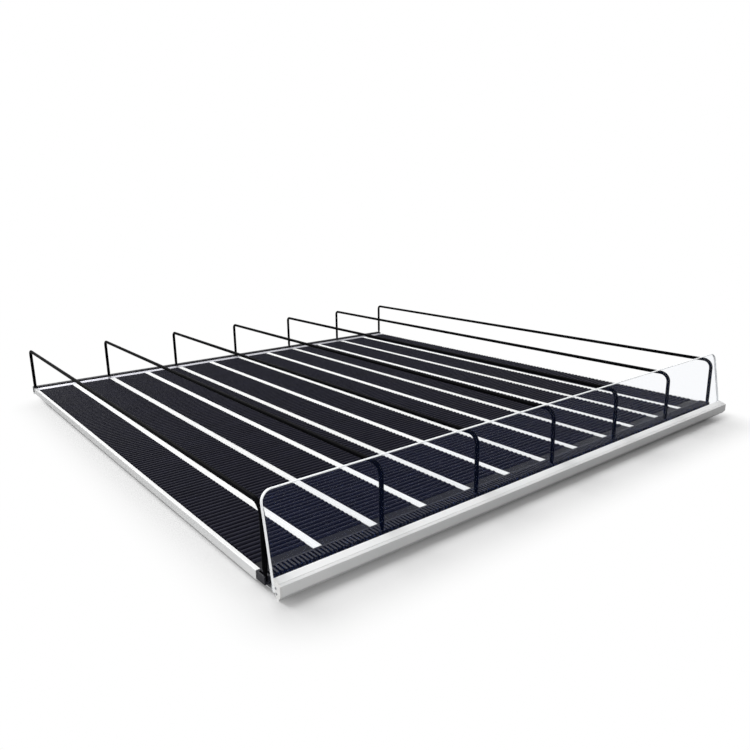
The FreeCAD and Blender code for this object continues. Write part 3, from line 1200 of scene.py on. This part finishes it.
@dataclass
class WireDividers:
    """Seven bent wires with flattened feet."""

    palette: Palette
    dividers: int = 7
    radius: float = 2.25 * MM
    front_bend: float = 11.0 * MM
    rear_bend: float = 6.0 * MM
    front_foot_top: float = 10.9 * MM
    rear_foot_top: float = 12.9 * MM
    rear_foot_bottom: float = 6.9 * MM
    foot_width: float = 2.2 * MM
    front_foot_half: float = 0.7 * MM
    rear_foot_half: float = 0.8 * MM
    shoulder: float = 5.0 * MM
    bend_steps: int = 10
    sides: int = 18
    smooth_angle: float = 50.0

    def stations(self, low: Vector, high: Vector) -> list[Station]:
        """List the sections along a wire.

        Args:
            low: Lowest corner of the wire's box.
            high: Highest corner of the wire's box.

        Returns:
            For each section its (y, z) place, its direction as an angle from +Y, and its half
            widths across the shelf and within the wire's own plane.
        """
        front = low.y + self.radius
        rear = high.y - self.radius
        top = high.z - self.radius
        round_wire = (self.radius, self.radius)
        front_blade = (self.front_foot_half, self.foot_width)
        rear_blade = (self.foot_width, self.rear_foot_half)
        up = math.pi / 2
        rows = [
            ((front, low.z), up, *front_blade),
            ((front, self.front_foot_top), up, *front_blade),
            ((front, self.front_foot_top + self.shoulder), up, *round_wire),
        ]
        bends = (
            (front + self.front_bend, self.front_bend, up),
            (rear - self.rear_bend, self.rear_bend, 0.0),
        )
        for middle, bend, start in bends:
            for step in range(self.bend_steps + 1):
                turn = start - up * step / self.bend_steps
                place = (middle - bend * math.sin(turn), top - bend + bend * math.cos(turn))
                rows.append((place, turn, *round_wire))
        rows += [
            ((rear, self.rear_foot_top + self.shoulder), -up, *round_wire),
            ((rear, self.rear_foot_top), -up, *rear_blade),
            ((rear, self.rear_foot_bottom), -up, *rear_blade),
        ]
        return rows

    def divider(self, number: int) -> None:
        """Build one divider.

        Args:
            number: Number of the divider, from 1 at the left.
        """
        node = f"wire_divider_{number}"
        low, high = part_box(node)
        x = (low.x + high.x) / 2
        rings = []
        for (y, z), turn, half_x, half_plane in self.stations(low, high):
            middle = Vector((x, y, z))
            normal = Vector((0, -math.sin(turn), math.cos(turn)))
            ring = []
            for aside, off in circle(1.0, self.sides):
                ring.append(middle + (Vector((aside * half_x, 0, 0)) + normal * (off * half_plane)))
            rings.append(ring)
        piece = Piece(f"bent_wire_{number}")
        piece.rings(rings)
        made = piece.finish(self.palette.wire, smooth_angle=self.smooth_angle)
        seat(made, node, Slot.WIRE_BLACK, node)

    def build(self) -> None:
        """Build all dividers."""
        for number in range(1, self.dividers + 1):
            self.divider(number)


@dataclass
class Studio:
    """Pale floor, soft light and the camera at the photograph's place."""

    palette: Palette
    floor_size: float = 14.0
    eye: Triple = (-0.5761, -0.77395, 0.28386)
    azimuth: float = -38.632
    elevation: float = 14.072
    roll: float = 0.797
    focal_pixels: float = 666.2
    picture_pixels: float = 750.0
    sensor: float = 36.0
    view_depth: float = 50.0
    key_place: Triple = (-0.5, 5.0, 5.2)
    key_size: float = 4.6
    key_power: float = 550.0
    side_place: Triple = (-0.95, -1.0, 0.2)
    side_size: float = 0.3
    side_power: float = 3.6
    bright_side: Triple = (-0.43, 0.85, 0.3)
    bright_span: Flat = (-0.1, 0.5)
    bright_levels: Flat = (0.10, 0.85)

    def floor(self) -> None:
        """Lay the floor."""
        half = self.floor_size / 2
        data = bpy.data.meshes.new("floor")
        corners = [(-half, -half, 0), (half, -half, 0), (half, half, 0), (-half, half, 0)]
        data.from_pydata(corners, [], [(0, 1, 2, 3)])
        data.materials.append(self.palette.floor)
        made = bpy.data.objects.new("floor", data)
        bpy.context.scene.collection.objects.link(made)

    def world(self) -> None:
        """Surround the shelf with light that is bright behind it, on a white background."""
        sketch = Sketch(bpy.data.worlds.new("studio"), "ShaderNodeOutputWorld")
        place = sketch.node("ShaderNodeTexCoord")
        side = sketch.node("ShaderNodeVectorMath", {"operation": "DOT_PRODUCT"})
        side.inputs[1].default_value = self.bright_side
        fill = sketch.node("ShaderNodeBackground", Color=WHITE)
        white = sketch.node("ShaderNodeBackground", Color=WHITE)
        sketch.link(place.outputs["Generated"], side.inputs[0])
        level = sketch.mapped(side.outputs["Value"], self.bright_span, self.bright_levels)
        sketch.link(level, fill.inputs["Strength"])
        shaders = (fill.outputs["Background"], white.outputs["Background"])
        bpy.context.scene.world = sketch.output(sketch.mixed(sketch.seen_directly(), *shaders))

    def lamp(self, name: str, place: Triple, size: float, power: float) -> None:
        """Hang a round soft lamp that faces the shelf.

        Args:
            name: Name of the lamp.
            place: Middle of the lamp.
            size: Diameter of the lamp.
            power: Its power in watts.
        """
        lamp = bpy.data.lights.new(name, "AREA")
        lamp.shape = "DISK"
        lamp.size = size
        lamp.energy = power
        made = bpy.data.objects.new(name, lamp)
        made.location = place
        made.rotation_euler = (-Vector(place)).to_track_quat("-Z", "Y").to_euler()
        bpy.context.scene.collection.objects.link(made)

    def camera(self) -> None:
        """Set up the camera."""
        azimuth = math.radians(self.azimuth)
        elevation = math.radians(self.elevation)
        flat = math.cos(elevation)
        forward = Vector((-math.sin(azimuth) * flat, math.cos(azimuth) * flat, -math.sin(elevation)))
        right = forward.cross(Vector((0, 0, 1))).normalized()
        up = right.cross(forward)
        turn = Matrix((right, up, -forward)).transposed()
        lens = bpy.data.cameras.new("camera")
        lens.sensor_width = self.sensor
        lens.lens = self.focal_pixels / self.picture_pixels * self.sensor
        lens.clip_end = self.view_depth
        made = bpy.data.objects.new("camera", lens)
        rolled = turn @ Matrix.Rotation(-math.radians(self.roll), 3, "Z")
        made.matrix_world = Matrix.Translation(self.eye) @ rolled.to_4x4()
        bpy.context.scene.collection.objects.link(made)
        bpy.context.scene.camera = made

    def build(self) -> None:
        """Set up floor, light and camera."""
        self.floor()
        self.world()
        self.lamp("key", self.key_place, self.key_size, self.key_power)
        self.lamp("side", self.side_place, self.side_size, self.side_power)
        self.camera()
        bpy.context.scene.view_settings.view_transform = "Standard"


def main() -> None:
    """Build the shelf's pieces in order."""
    logging.basicConfig(level=logging.INFO, format="%(name)s %(message)s")
    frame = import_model()
    palette = Palette()
    RollerDeck(palette).build()
    LaneStrips(palette).build()
    FrontNose(palette).build()
    StopPanel(palette).build()
    FrontComb(palette).build()
    RearEnd(palette).build(frame["nodes"])
    WireDividers(palette).build()
    Studio(palette).build()


if __name__ == "__main__":
    main()
